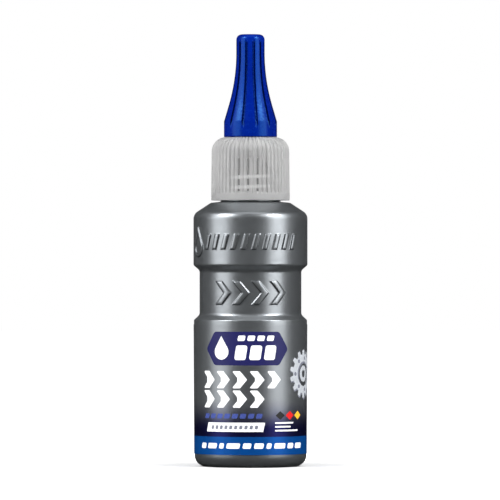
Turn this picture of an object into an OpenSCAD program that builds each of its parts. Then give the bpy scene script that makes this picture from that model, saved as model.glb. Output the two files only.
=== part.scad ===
// Squeeze bottle for chain oil: a hollow blown bottle with a grip waist, a ribbed
// screw cap with a spout, and a fluted overcap that closes the spout.
// The bottle stands on z = 0 with its axis on Z, and its front faces -Y.

/* [Bottle] */
// Diameter of the band between the waist and the shoulder
band_d = 36.2; // [34:0.1:40]
// Diameter of the grip waist
waist_d = 32.3; // [30:0.1:33.5]
// Diameter of the lower body at its upper edge
lower_d = 35.9; // [34.5:0.1:40]
// Diameter of the lower body at the foot
foot_d = 35.5; // [34:0.1:40]
// Height of the lower body, which carries the label
lower_h = 46.4; // [40:0.2:60]
// Height of the waist with both of its slanted steps
waist_h = 17.4; // [14:0.2:26]
// Height of each slanted step
step_h = 1.7; // [1.2:0.1:3]
// Height of the band, up to where the shoulder starts
band_h = 16.2; // [12:0.2:24]
// Height of the slanted shoulder
shoulder_h = 3.6; // [2.4:0.1:6]
// Diameter of the flat disc on top of the shoulder
disc_d = 25.2; // [24:0.1:28]
// Rise of that disc towards the neck
disc_rise = 0.3; // [0:0.05:0.6]
// Wall of the blown body
wall = 0.9; // [0.6:0.05:1.3]
// Radius between the side and the foot
foot_r = 3.5; // [2.5:0.1:4.5]
// Radius of the shoulder's outer edge
shoulder_r = 2.8; // [1.5:0.1:4]
// Inner diameter of the standing ring
ring_d = 23; // [20:0.5:26]
// Height of the hollow under the base
push_up = 1.5; // [1:0.1:2.5]
// Length of the pinch-off seam under the base
seam_l = 15; // [10:0.5:17]

/* [Embossing] */
// Height of the raised marks
mark_h = 0.45; // [0.2:0.05:0.6]
// Number of slanted strokes around the front of the band
stroke_n = 10; // [3:1:12]
// Height of a stroke
stroke_h = 4.8; // [2:0.1:6]
// Number of arrowheads around the front of the waist
arrow_n = 4; // [2:1:6]
// Height of an arrowhead
arrow_h = 7.4; // [4:0.1:8]
// Height of the drop to the left of the strokes
drop_h = 9.6; // [6:0.2:11]

/* [Neck] */
// Diameter of the neck between its threads
neck_d = 19; // [18:0.1:20]
// Wall of the neck
neck_wall = 2; // [1.5:0.1:2.5]
// Height of the neck above the shoulder
neck_h = 13.4; // [12:0.1:18]
// Diameter over the neck's thread
thread_d = 21.7; // [21:0.1:22.5]
// Rise of the thread in one turn
thread_pitch = 3.175; // [3:0.025:3.5]
// Number of turns of the thread
thread_turns = 1.75; // [1:0.25:2]
// Depth of the thread's upper end below the rim
thread_drop = 2.7; // [2.2:0.1:4]

/* [Spout cap] */
// Wall of the collar from its bore to the top of its ribs
collar_wall = 1.35; // [1.1:0.05:1.8]
// How far the collar narrows towards its dome, on the radius
collar_taper = 0.14; // [0:0.02:0.3]
// Height of the cap above its sealing land
head_h = 6; // [5.5:0.1:8]
// Radius of the dome's edge
dome_r = 4.5; // [4:0.1:5]
// Number of grip ribs
rib_n = 52; // [24:2:60]
// Width of the groove between two ribs
rib_gap = 0.6; // [0.4:0.05:0.7]
// Depth of the groove between two ribs
rib_depth = 0.35; // [0.2:0.05:0.5]
// Height of the plain rim below the ribs
rim_h = 2.45; // [1.5:0.1:4]
// Diameter over the ring that presses the washer
land_d = 17.8; // [16.5:0.1:18.4]
// Wall of the spout
spout_wall = 1.2; // [0.9:0.1:1.5]
// Height of the plain ring that holds the overcap
seat_h = 3; // [2:0.1:4]
// Diameter of the drip hole
orifice_d = 1.2; // [1:0.1:1.4]
// Length of the drip hole
orifice_l = 3; // [2.5:0.1:4]
// Diameter of the spout's end
tip_d = 3.4; // [3:0.1:4]

/* [Washer] */
// Thickness of the sealing washer
washer_t = 1; // [0.8:0.1:1.6]
// Diameter of the hole in the washer
washer_hole_d = 12.6; // [11:0.1:13.5]

/* [Overcap] */
// Diameter of the overcap's foot
cap_d = 16.84; // [16.4:0.04:17.6]
// Diameter of its upper end
cap_top_d = 9; // [8.8:0.02:10]
// Height of the overcap
cap_h = 32.6; // [31:0.1:40]
// Height of its straight foot
cap_foot_h = 4.9; // [4:0.1:6]
// Slope of its cone, from the axis
cap_slope = 16.4; // [15:0.1:18]
// Radius of the hollow curve between cone and upper end
cap_curve_r = 60; // [40:1:70]
// Radius of the upper edge
cap_edge_r = 1.7; // [1:0.1:2]
// Wall of the overcap at its ribs
cap_wall = 1.5; // [1.4:0.05:1.6]
// Number of flutes
flute_n = 12; // [6:1:14]
// Diameter of the round flute
flute_d = 0.84; // [0.6:0.02:1]
// Depth of the flute
flute_depth = 0.6; // [0.45:0.05:0.7]
// Length of the pin that closes the drip hole, inside the hole
pin_l = 2; // [1:0.1:2.4]

/* [Label] */
// Thickness of the label film
film_t = 0.1; // [0.06:0.02:0.16]
// Height of the label's lower edge above the ground
label_z = 4.1; // [3.6:0.1:6]
// Bare strip between the label and the waist's step
label_margin = 1.4; // [1:0.1:3]
// Width of the gap between the label's ends, at the back
label_gap = 1.5; // [0.5:0.5:6]
// Height of the coloured band along the label's lower edge
stripe_h = 5.7; // [4:0.1:8]
// Thickness of the printed fields
ink_t = 0.04; // [0.03:0.01:0.06]

/* [Clearances] */
// Between flat faces that press on each other
seat_gap = 0.05; // [0.02:0.01:0.1]
// Between the thread's crests and the wall across from them
thread_gap = 0.25; // [0.2:0.01:0.35]
// Between the overcap and the ring that holds it
fit_gap = 0.1; // [0.06:0.01:0.15]
// Between the spout and the overcap above that ring
spout_gap = 0.5; // [0.3:0.05:0.6]
// Between the collar and the shoulder
collar_gap = 0.45; // [0.3:0.05:0.8]
// Between the closing pin and the drip hole
pin_gap = 0.08; // [0.05:0.01:0.1]
// Between the label film and the bottle
glue_t = 0.02; // [0.01:0.01:0.04]

/* [Hidden] */
$fn = 96;
// Small length by which a cutting body runs past the face that it opens
over = 1;

// Heights, from the ground up
waist_z = lower_h;
band_z = waist_z + waist_h;
shoulder_z = band_z + band_h;
disc_z = shoulder_z + shoulder_h;
neck_z = disc_z + disc_rise;
rim_z = neck_z + neck_h;
washer_z = rim_z + seat_gap;
land_z = washer_z + washer_t + seat_gap;
dome_z = land_z + head_h;
collar_z = neck_z + collar_gap;
cap_z = dome_z + seat_gap;
cap_top_z = cap_z + cap_h;
ceiling_z = cap_top_z - cap_wall;

// Radii
neck_r = neck_d / 2;
bore_r = neck_r - neck_wall;
thread_r = thread_d / 2;
skirt_r = thread_r + thread_gap;
collar_r = skirt_r + collar_wall;
land_r = land_d / 2;

// Radii of the bottle's smaller edges
edge_r = 0.4;
step_edge_r = 0.9;
step_hollow_r = 1.5;
disc_edge_r = 0.8;
rim_r = 0.5;

// Outline tools. An outline is a list of [r, z, edge radius] that keeps its inside on the left.
function unit(v) = v / norm(v);
function left_of(v) = [-v[1], v[0]];
function flat(p) = [p[0], p[1]];
function turn(a, b, c) = cross(unit(b - a), unit(c - b));

// Moves one corner inwards by d, along both of its edges
function inset_corner(a, b, c, d) =
    let (u = unit(b - a), w = unit(c - b)) b + (left_of(u) + left_of(w)) * d / (1 + u * w);

// The edge radius of an inset corner: less on an outer edge, more in a hollow
function inset_radius(a, b, c, r, d) = turn(a, b, c) > 0 ? max(r - d, 0) : r + d;

// The whole outline moved inwards by d; its ends stay on the axis
function inset(line, d) = [
    for (i = [0:len(line) - 1])
        let (b = flat(line[i]))
        i == 0 ? [b[0], b[1] + d, 0] :
        i == len(line) - 1 ? [b[0], b[1] - d, 0] :
        let (a = flat(line[i - 1]), c = flat(line[i + 1]), p = inset_corner(a, b, c, d))
        [p[0], p[1], inset_radius(a, b, c, line[i][2], d)]
];

// The points of one corner, as an arc where it has an edge radius
function corner_points(a, b, c, r, steps) =
    r < 0.01 || abs(turn(a, b, c)) < 0.001 ? [b] :
    let (
        u = unit(a - b),
        w = unit(c - b),
        half = acos(u * w) / 2,
        mid = b + unit(u + w) * r / sin(half),
        from = b + u * r / tan(half) - mid,
        side = sign(turn(a, b, c)),
        first = atan2(from[1], from[0])
    )
    [for (k = [0:steps]) let (t = first + side * (180 - 2 * half) * k / steps) mid + r * [cos(t), sin(t)]];

// The outline as points for polygon()
function rounded(line, steps = 6) = [
    for (i = [0:len(line) - 1])
        each i == 0 || i == len(line) - 1 ? [flat(line[i])] :
            corner_points(flat(line[i - 1]), flat(line[i]), flat(line[i + 1]), line[i][2], steps)
];

// Outside of the bottle from the middle of its base to the foot of the neck
push_run = 1.6;
bottle_line = [
    [0, push_up, 0],
    [ring_d / 2 - push_run, push_up, step_hollow_r],
    [ring_d / 2, 0, edge_r],
    [foot_d / 2, 0, foot_r],
    [lower_d / 2, waist_z, edge_r],
    [waist_d / 2, waist_z + step_h, step_hollow_r],
    [waist_d / 2, band_z - step_h, step_hollow_r],
    [band_d / 2, band_z, step_edge_r],
    [band_d / 2, shoulder_z, shoulder_r],
    [disc_d / 2, disc_z, disc_edge_r],
    [neck_r, neck_z, 0],
    [0, neck_z, 0]
];

// Radius of the lower body's side at height z
function side_r(z) = (foot_d + (lower_d - foot_d) * z / lower_h) / 2;

// Thread. The cap's thread runs half a pitch below the neck's, in the space between its turns.
thread_step = 10;
thread_fade = 40;
thread_root_w = 1.9;
thread_crest_w = 1;
nut_root_w = 1.5;
nut_crest_w = 0.8;
// Place of the lower end around the axis, from +X
thread_start = -167;
thread_low_z = rim_z - thread_drop - thread_turns * thread_pitch;
// How deep a thread is rooted in its wall, and how far its ends dip under the surface
thread_root = 0.4;
thread_dip = 0.15;

// A closed skin over a row of sections, which all have the same number of points
module skin(sections) {
    n = len(sections[0]);
    last = (len(sections) - 1) * n;
    polyhedron(
        points = [for (s = sections) each s],
        faces = concat(
            [[for (j = [0:n - 1]) n - 1 - j], [for (j = [0:n - 1]) last + j]],
            [for (k = [0:len(sections) - 2], j = [0:n - 1]) each let (a = n * k + j, b = n * k + (j + 1) % n)
                [[a, b, b + n], [a, b + n, a + n]]]
        )
    );
}

// One ridge of a screw thread: side is 1 on the outside of a neck, -1 inside a bore
module thread_ridge(root_r, crest_r, root_w, crest_w, low_z, side) {
    sweep = thread_turns * 360;
    rings = ceil(sweep / thread_step);
    function fade(t) = min(1, t / thread_fade, (sweep - t) / thread_fade);
    function section(t) = let (
        z = low_z + thread_pitch * t / 360,
        deep = root_r - side * thread_root,
        crest = root_r + (crest_r - root_r) * fade(t) - side * thread_dip * (1 - fade(t))
    ) [
        for (p = [[deep, -root_w], [crest, -crest_w], [crest, crest_w], [deep, root_w]])
            [p[0] * cos(thread_start + t), p[0] * sin(thread_start + t), z + side * p[1] / 2]
    ];
    skin([for (k = [0:rings]) section(sweep * k / rings)]);
}

// Stands a flat drawing on the front of a round wall, turned by a, as a ridge from r_in to r_out
module on_front(a, z, r_in, r_out) {
    // The drawing is never taller than the wall is wide
    ring_h = 2 * r_out;
    rotate([0, 0, a]) intersection() {
        translate([0, -r_in / 2, z]) rotate([90, 0, 0]) linear_extrude(r_out) children();
        translate([0, 0, z - ring_h / 2]) difference() {
            cylinder(h = ring_h, r = r_out);
            translate([0, 0, -over]) cylinder(h = ring_h + 2 * over, r = r_in);
        }
    }
}

// A slanted stroke, h high and w wide
module stroke(h, w, lean) {
    polygon([[-w / 2 - lean / 2, -h / 2], [w / 2 - lean / 2, -h / 2], [w / 2 + lean / 2, h / 2],
        [-w / 2 + lean / 2, h / 2]]);
}

// An arrowhead that points to the right, h high, with arms w wide
module arrowhead(h, w) {
    reach = h * 0.42;
    polygon([[-reach / 2 - w / 2, -h / 2], [w / 2 - reach / 2, -h / 2], [reach / 2 + w / 2, 0],
        [w / 2 - reach / 2, h / 2], [-reach / 2 - w / 2, h / 2], [reach / 2 - w / 2, 0]]);
}

// A drop of oil that stands on its round end, h high
module drop(h, r) {
    steps = 16;
    lean = asin(r / (h - r));
    polygon(concat(
        [for (k = [0:steps]) let (t = 180 - lean + (180 + 2 * lean) * k / steps)
            [r * cos(t), r - h / 2 + r * sin(t)]],
        [[0, h / 2]]
    ));
}

// Raised marks: a drop and slanted strokes around the band, arrowheads around the waist.
// Places and steps around the front are in degrees.
stroke_w = 1.6;
stroke_lean = 1.3;
stroke_pitch = 10.6;
arrow_w = 2.4;
arrow_pitch = 21.5;
drop_a = -65;
drop_r = 2.9;
drop_rim = 1;
mark_root = 0.3;

// The outline of a drop. The drop inside it is smaller about the middle of its round end,
// which keeps the rim equally wide all around.
module drop_ring(h, r, rim) {
    size = 1 - rim / r;
    difference() {
        drop(h, r);
        translate([0, (1 - size) * (r - h / 2)]) drop(size * h, size * r);
    }
}

module marks() {
    band_mid = (band_z + shoulder_z - shoulder_r / 2) / 2;
    waist_mid = (waist_z + band_z) / 2;
    module on_band(a) {
        on_front(a, band_mid, band_d / 2 - mark_root, band_d / 2 + mark_h) children();
    }
    module on_waist(a) {
        on_front(a, waist_mid, waist_d / 2 - mark_root, waist_d / 2 + mark_h) children();
    }
    on_band(drop_a) drop_ring(drop_h, drop_r, drop_rim);
    for (k = [0:stroke_n - 1])
        on_band((k - (stroke_n - 1) / 2) * stroke_pitch) stroke(stroke_h, stroke_w, stroke_lean);
    for (k = [0:arrow_n - 1])
        on_waist((k - (arrow_n - 1) / 2) * arrow_pitch) arrowhead(arrow_h, arrow_w);
}

module bottle() {
    seam_w = 0.8;
    seam_h = 0.5;
    neck_line = [[0, neck_z - wall / 2, 0], [neck_r, neck_z - wall / 2, 0], [neck_r, rim_z, rim_r],
        [0, rim_z, 0]];
    color("slategray") {
        rotate_extrude() difference() {
            union() {
                polygon(rounded(bottle_line));
                polygon(rounded(neck_line));
            }
            polygon(rounded(inset(bottle_line, wall)));
            translate([0, neck_z - wall - over]) square([bore_r, neck_h + wall + 2 * over]);
        }
        thread_ridge(neck_r, thread_r, thread_root_w, thread_crest_w, thread_low_z, 1);
        marks();
        translate([-seam_l / 2, -seam_w / 2, push_up - seam_h]) cube([seam_l, seam_w, seam_h + wall / 2]);
    }
}

// Printed fields on the front of the label. Places around the front are in degrees, and heights
// are above the label's lower edge.
plate_up = 33.3;
plate_line = [[-13.7, 0], [-11.4, -5.1], [9, -5.1], [11.8, 0], [9, 5.4], [-11.4, 5.4]];
plate_drop_a = -30.5;
plate_drop_h = 7.4;
plate_drop_r = 2.5;
// Rows of slanted strokes: [first place, step, number, height of the row, then height, width
// and lean of one stroke]
stroke_rows = [
    [-9, 9.9, 4, 36.8, 1.7, 2.2, 0.4],
    [-9.5, 15, 3, 32.1, 4.6, 3.6, 0.7],
    [-18, 0, 1, 8.8, 2.9, 18.5, 0.7]
];
// Rows of arrowheads: [first place, step, number, height of the row, then height and arm of one]
arrow_rows = [
    [-46.5, 17.6, 5, 23.7, 5.4, 2.6],
    [-46.5, 17.6, 4, 17.6, 5.4, 2.6]
];

// One flat field of ink, layers deep, on the front of the film
module ink(a, up, layers) {
    r = side_r(label_z + up) + glue_t + film_t;
    on_front(a, label_z + up, r - film_t / 2, r + layers * ink_t) children();
}

// The white fields have a second layer of ink, which keeps them on top of the dark plate
module print_fields() {
    color("midnightblue") ink(0, plate_up, 1) polygon(plate_line);
    color("white") {
        ink(plate_drop_a, plate_up, 2) drop(plate_drop_h, plate_drop_r);
        for (row = stroke_rows, k = [0:row[2] - 1])
            ink(row[0] + row[1] * k, row[3], 2) stroke(row[4], row[5], row[6]);
        for (row = arrow_rows, k = [0:row[2] - 1])
            ink(row[0] + row[1] * k, row[3], 2) arrowhead(row[4], row[5]);
    }
}

// The film is wrapped around the lower body, and its ends stay apart at the back
module label() {
    top_z = lower_h - label_margin;
    stripe_z = label_z + stripe_h;
    film_out = glue_t + film_t;
    ink_out = film_out + ink_t;
    gap_a = label_gap / side_r(label_z) * 180 / PI;
    module wrap(points) {
        rotate([0, 0, 90 + gap_a / 2]) rotate_extrude(angle = 360 - gap_a) polygon(points);
    }
    color("gray") wrap([[side_r(label_z) + glue_t, label_z], [side_r(label_z) + film_out, label_z],
        [side_r(top_z) + film_out, top_z], [side_r(top_z) + glue_t, top_z]]);
    color("mediumblue") wrap([[side_r(label_z) + glue_t, label_z], [side_r(label_z) + ink_out, label_z],
        [side_r(stripe_z) + ink_out, stripe_z], [side_r(stripe_z) + glue_t, stripe_z]]);
    print_fields();
}

module washer() {
    play = 0.4;
    color("white") translate([0, 0, washer_z]) difference() {
        cylinder(h = washer_t, r = skirt_r - play);
        translate([0, 0, -over]) cylinder(h = washer_t + 2 * over, d = washer_hole_d);
    }
}

// Overcap outline, moved inwards by d: straight foot, cone, hollow curve, straight upper end.
// The overcap's inside, the spout and the spout's bore all follow this one line.
curve_r = cap_top_d / 2 + cap_curve_r;
cone_top_r = curve_r - cap_curve_r * cos(cap_slope);
cone_z = cap_z + cap_foot_h;
curve_z = cone_z + (cap_d / 2 - cone_top_r) / tan(cap_slope) + cap_curve_r * sin(cap_slope);
curve_steps = 10;

function cap_line(d) = concat(
    [[cap_d / 2 - d, cone_z - d * tan(cap_slope / 2)]],
    [for (k = [0:curve_steps]) let (t = cap_slope * (1 - k / curve_steps))
        [curve_r - (cap_curve_r + d) * cos(t), curve_z - (cap_curve_r + d) * sin(t)]]
);

module spout_cap() {
    dome_mid = [collar_r - collar_taper - dome_r, dome_z - dome_r];
    skin = collar_wall - 0.1;
    outer_in = cap_wall + spout_gap;
    bore_in = outer_in + spout_wall;
    tip_z = ceiling_z - spout_gap;
    tip_taper = 3;
    seat_r = cap_d / 2 - cap_wall - fit_gap;
    funnel_r = land_r - 1.9;

    // An arc of the dome's edge with radius r, from angle a to angle b
    function dome_arc(r, a, b, steps) =
        [for (k = [0:steps]) let (t = a + (b - a) * k / steps) dome_mid + r * [cos(t), sin(t)]];

    module outside() {
        polygon(concat(
            [[0, collar_z], [collar_r, collar_z]],
            dome_arc(dome_r, 0, 90, 10),
            [[0, dome_z]]
        ));
        polygon(concat(
            [[0, dome_z - over], [seat_r, dome_z - over], [seat_r, cap_z + seat_h],
                [cap_d / 2 - outer_in, cap_z + seat_h + seat_r - cap_d / 2 + outer_in]],
            [for (p = cap_line(outer_in)) if (p[1] < tip_z - tip_taper) p],
            [[cap_top_d / 2 - outer_in, tip_z - tip_taper], [tip_d / 2, tip_z], [0, tip_z]]
        ));
    }

    // The space for the neck, and the relief around the sealing ring
    module skirt_space() {
        chamfer = 0.4;
        relief_a = acos((land_r - dome_mid[0]) / (dome_r - skin));
        polygon([[0, collar_z - over], [skirt_r + chamfer + over, collar_z - over],
            [skirt_r, collar_z + chamfer], [skirt_r, land_z], [0, land_z]]);
        polygon(concat(
            [[land_r, land_z - over], [skirt_r, land_z - over]],
            dome_arc(dome_r - skin, 0, relief_a, 8)
        ));
    }

    module spout_space() {
        polygon(concat(
            [[0, land_z - over], [funnel_r, land_z - over], [funnel_r, land_z],
                [cap_d / 2 - bore_in, dome_z]],
            [for (p = cap_line(bore_in)) if (p[1] < tip_z - orifice_l - 1) p],
            [[cap_top_d / 2 - bore_in, tip_z - orifice_l - 0.5], [0, tip_z - orifice_l]]
        ));
        translate([0, tip_z - orifice_l - over]) square([orifice_d / 2, orifice_l + 2 * over]);
    }

    // One groove between two ribs, up the collar and over the dome
    module rib_groove() {
        low_z = collar_z + rim_h;
        out = collar_r + over;
        top_a = 88;
        rotate([90, 0, 0]) linear_extrude(rib_gap, center = true) polygon(concat(
            [[out, low_z], [out, dome_z + over], [dome_mid[0] + dome_r * cos(top_a), dome_z + over]],
            dome_arc(dome_r - rib_depth, top_a, 0, 8),
            [[collar_r - rib_depth, low_z]]
        ));
    }

    color("gainsboro") {
        difference() {
            rotate_extrude() difference() {
                outside();
                skirt_space();
                spout_space();
            }
            for (k = [0:rib_n - 1]) rotate([0, 0, (k + 0.5) * 360 / rib_n]) rib_groove();
        }
        thread_ridge(skirt_r, neck_r + thread_gap + 0.1, nut_root_w, nut_crest_w,
            thread_low_z - thread_pitch / 2, -1);
    }
}

module overcap() {
    pin_r = orifice_d / 2 - pin_gap;
    pin_top_r = 1.1;
    flute_r = flute_d / 2;
    axis_depth = flute_depth - flute_r;
    flute_top_z = cap_top_z - cap_edge_r - 0.1;
    chamfer = 0.3;
    // Place of a flute between two ribs, from the front
    flute_turn = -16.5;

    // One flute, cut by a round tool that follows the outline and runs out on the foot.
    // Each stop of the tool is [distance from the axis, height, lean of the surface].
    module flute() {
        run_out = 11;
        fade_h = 1;
        arc_steps = 6;
        lean = [for (k = [0:arc_steps]) cap_slope * (1 - k / arc_steps)];
        stops = concat(
            [[curve_r - cap_curve_r * cos(cap_slope) + run_out * sin(cap_slope),
                curve_z - cap_curve_r * sin(cap_slope) - run_out * cos(cap_slope), cap_slope]],
            [for (t = lean) [curve_r - cap_curve_r * cos(t), curve_z - cap_curve_r * sin(t), t]],
            [[cap_top_d / 2, flute_top_z - fade_h, 0], [cap_top_d / 2 + flute_depth, flute_top_z, 0]]
        );
        function section(p) = [
            for (q = concat(
                [[-flute_r, over]],
                [for (t = [0:45:180]) [-flute_r * cos(t), -axis_depth - flute_r * sin(t)]],
                [[flute_r, over]]
            )) [p[0] + q[1] * cos(p[2]), q[0], p[1] + q[1] * sin(p[2])]
        ];
        skin([for (p = stops) section(p)]);
    }

    color("royalblue") {
        difference() {
            rotate_extrude() polygon(rounded(concat(
                [[0, cap_z, 0], [cap_d / 2, cap_z, 0]],
                [for (p = cap_line(0)) [p[0], p[1], 0]],
                [[cap_top_d / 2, cap_top_z, cap_edge_r], [0, cap_top_z, 0]]
            )));
            rotate_extrude() polygon(concat(
                [[0, cap_z - over], [cap_d / 2 - cap_wall + chamfer + over, cap_z - over],
                    [cap_d / 2 - cap_wall, cap_z + chamfer]],
                cap_line(cap_wall),
                [[cap_top_d / 2 - cap_wall, ceiling_z], [0, ceiling_z]]
            ));
            for (k = [0:flute_n - 1]) rotate([0, 0, flute_turn - 90 + k * 360 / flute_n]) flute();
        }
        translate([0, 0, ceiling_z - spout_gap - pin_l]) cylinder(h = pin_l + spout_gap + over / 2, r = pin_r);
    }
}

bottle();
label();
washer();
spout_cap();
overcap();
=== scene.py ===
# %% [markdown]
# A squeeze bottle for chain oil
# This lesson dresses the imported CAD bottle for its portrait. The CAD parts say where every piece
# sits and how big it is. Blender gives them soft moulded edges, fine ribs and real plastics.
# The bottle stands on z = 0, its axis is Z and its front looks towards -Y.

# %% Load the frame
import math

import bmesh
import bpy
import numpy as np
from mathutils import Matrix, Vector


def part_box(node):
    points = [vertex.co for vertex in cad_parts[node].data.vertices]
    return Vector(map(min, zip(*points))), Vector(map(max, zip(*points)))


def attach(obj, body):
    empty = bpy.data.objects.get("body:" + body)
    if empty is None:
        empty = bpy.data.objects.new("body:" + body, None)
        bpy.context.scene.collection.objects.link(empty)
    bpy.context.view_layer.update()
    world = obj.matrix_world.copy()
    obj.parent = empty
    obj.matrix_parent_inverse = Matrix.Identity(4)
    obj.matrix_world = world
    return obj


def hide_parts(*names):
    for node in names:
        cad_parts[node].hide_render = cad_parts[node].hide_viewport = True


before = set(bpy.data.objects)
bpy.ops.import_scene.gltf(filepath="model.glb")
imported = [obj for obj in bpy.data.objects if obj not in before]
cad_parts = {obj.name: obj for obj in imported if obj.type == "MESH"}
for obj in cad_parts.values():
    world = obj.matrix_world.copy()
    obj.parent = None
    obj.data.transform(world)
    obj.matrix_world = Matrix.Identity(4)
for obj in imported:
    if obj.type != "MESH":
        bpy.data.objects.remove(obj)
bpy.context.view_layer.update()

# %% [markdown]
# Sizes
# The lesson works in millimetres, as the mould maker does, and turns them into metres only when
# a mesh is made. Heights that belong to a CAD part are read from its box, so that the dressed
# pieces follow the frame. The other values repeat the driving sizes of the CAD source.

# %% Heights and diameters
MM = 0.001


def corner(node, high, axis):
    """One coordinate of a CAD part's box, in millimetres."""
    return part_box(node)[high][axis] / MM


# The bottle's outline
BAND_R, WAIST_R, LOWER_R, FOOT_R = 18.1, 16.15, 17.95, 17.75
LOWER_H, WAIST_H, STEP_H, BAND_H = 46.4, 17.4, 1.7, 16.2
WAIST_Z = LOWER_H
BAND_Z = WAIST_Z + WAIST_H
SHOULDER_Z = BAND_Z + BAND_H
DISC_Z = SHOULDER_Z + 3.6
NECK_Z = DISC_Z + 0.3
DISC_R, NECK_R, BORE_R = 12.6, 9.5, 7.5
RIM_Z = corner("bottle", 1, 2)
RING_R, PUSH_UP, WALL = 11.5, 1.5, 0.9
BAND_MID = (BAND_Z + SHOULDER_Z - 1.4) / 2
WAIST_MID = (WAIST_Z + BAND_Z) / 2
# The zones of the raised marks: the middle of each and half its height
MARK_ZONES = ((BAND_MID, 5.2), (WAIST_MID, 4.2))

# The thread on the neck and in the cap
THREAD_R, THREAD_PITCH, THREAD_TURNS = 10.85, 3.175, 1.75
THREAD_START = -167.0
# The width of a ridge at its root and at its crest
NECK_RIDGE, CAP_RIDGE = (1.9, 1.0), (1.5, 0.8)
THREAD_LOW_Z = RIM_Z - 2.7 - THREAD_TURNS * THREAD_PITCH

# The spout cap and the overcap
COLLAR_Z = corner("spout_cap", 0, 2)
COLLAR_R = corner("spout_cap", 1, 0)
SKIRT_R = 11.1
LAND_Z = corner("washer", 1, 2) + 0.05
DOME_Z = LAND_Z + 6.0
CAP_Z = corner("overcap", 0, 2)
CAP_TOP_Z = corner("overcap", 1, 2)
CAP_R, CAP_TOP_R = 8.42, 4.5
CAP_FOOT_H, CAP_SLOPE, CAP_CURVE_R, CAP_WALL = 4.9, math.radians(16.4), 60.0, 1.5
print("rim at", round(RIM_Z, 2), "collar from", round(COLLAR_Z, 2), "overcap from", round(CAP_Z, 2))

# %% [markdown]
# Outlines with round corners
# A blown or moulded part is drawn as a list of corners, and each corner gets its own radius. The
# same few lines of geometry then serve the bottle, the cap and the overcap. A bevel modifier could
# round the corners too, but here the radius has to stay true to the mould.


# %% Round the corners of an outline
def rounded(line, steps=8):
    """Points of an outline whose corners are (r, z, radius)."""
    out = []
    for i, (r, z, radius) in enumerate(line):
        here = Vector((r, z))
        if i in (0, len(line) - 1) or radius < 0.01:
            out.append((r, z))
            continue
        back = (Vector(line[i - 1][:2]) - here).normalized()
        ahead = (Vector(line[i + 1][:2]) - here).normalized()
        half = math.acos(max(-1.0, min(1.0, back.dot(ahead)))) / 2
        middle = here + (back + ahead).normalized() * radius / math.sin(half)
        first = here + back * radius / math.tan(half) - middle
        last = here + ahead * radius / math.tan(half) - middle
        a = math.atan2(first.y, first.x)
        turn = math.atan2(first.x * last.y - first.y * last.x, first.dot(last))
        for k in range(steps + 1):
            t = a + turn * k / steps
            out.append((middle.x + radius * math.cos(t), middle.y + radius * math.sin(t)))
    return out


def spaced(points, step):
    """The same outline with no stretch longer than step, which may depend on the height."""
    out = [points[0]]
    for (r0, z0), (r1, z1) in zip(points, points[1:]):
        longest = step((z0 + z1) / 2) if callable(step) else step
        n = max(1, math.ceil(math.hypot(r1 - r0, z1 - z0) / longest))
        out += [(r0 + (r1 - r0) * k / n, z0 + (z1 - z0) * k / n) for k in range(1, n + 1)]
    return [p for k, p in enumerate(out) if k == 0 or math.dist(p, out[k - 1]) > 1e-5]


# %% [markdown]
# Turning an outline into a mesh
# Screw and Spin can turn an outline, but a moulded part also has ribs, threads and raised marks.
# So the lesson builds a grid by hand: rows along the outline, columns around the axis. Each grid
# point may be pushed along the surface before the mesh is made, as an engraver's tool would.


# %% Build a grid around the axis
def turned(name, outline, columns, push=None, body="bottle_body", material=None, sharp=40, loop=False):
    """A closed mesh from an outline that starts and ends on the axis, or is a loop.

    columns gives the angles in degrees, or a function of the radius that does.
    push(r, z, angle, nr, nz) returns new r and z for whole arrays of points.
    """
    rows = np.array(outline)
    ahead, behind = np.roll(rows, -1, 0), np.roll(rows, 1, 0)
    if not loop:
        ahead[-1], behind[0] = rows[-1], rows[0]
    along = ahead - behind
    along /= np.linalg.norm(along, axis=1)[:, None]
    normal = np.stack([along[:, 1], -along[:, 0]], 1)
    angles = np.array([columns(r) if callable(columns) else columns for r, _ in rows])
    r = np.repeat(rows[:, :1], angles.shape[1], 1)
    z = np.repeat(rows[:, 1:], angles.shape[1], 1)
    if push is not None:
        r, z = push(r, z, angles, normal[:, :1], normal[:, 1:])
    a = np.radians(angles)
    points = np.stack([r * np.cos(a), r * np.sin(a), z], 2) * MM
    bm = bmesh.new()
    rings = []
    for k in range(len(rows)):
        if rows[k, 0] < 1e-6:
            rings.append([bm.verts.new(points[k, 0])] * angles.shape[1])
        else:
            rings.append([bm.verts.new(p) for p in points[k]])
    if loop:
        rings.append(rings[0])
    for low, high in zip(rings, rings[1:]):
        for j in range(len(low)):
            i = (j + 1) % len(low)
            quad = [low[j], low[i], high[i], high[j]]
            bm.faces.new(list(dict.fromkeys(quad)))
    return finished(name, bm, body, material, sharp)


def finished(name, bm, body, material, sharp):
    """Turns a bmesh into a smooth-shaded piece that rides on its body."""
    mesh = bpy.data.meshes.new(name)
    bm.to_mesh(mesh)
    bm.free()
    mesh.polygons.foreach_set("use_smooth", [True] * len(mesh.polygons))
    mesh.set_sharp_from_angle(angle=math.radians(sharp))
    piece = bpy.data.objects.new(name, mesh)
    bpy.context.scene.collection.objects.link(piece)
    if material is not None:
        mesh.materials.append(material)
    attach(piece, body)
    print(name, len(mesh.polygons), "faces")
    return piece


# %% [markdown]
# Plastics
# All the parts are plastics, but no two look alike. The bottle is pigmented with fine metal flakes,
# the cap is natural and milky, and the overcap is dyed and glossy. Each material gets a faint
# mottle and a moulded grain, because a bare colour would look like paint in a drawing program.
# Pictures on the surface could do it too, but noise in object space needs no unwrapping and keeps
# its true scale from every side.


# %% Node helpers
def new_material(name):
    """An empty node material with its Principled shader."""
    material = bpy.data.materials.new(name)
    material.use_nodes = True
    shader = material.node_tree.nodes["Principled BSDF"]
    return material, material.node_tree, shader


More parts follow.
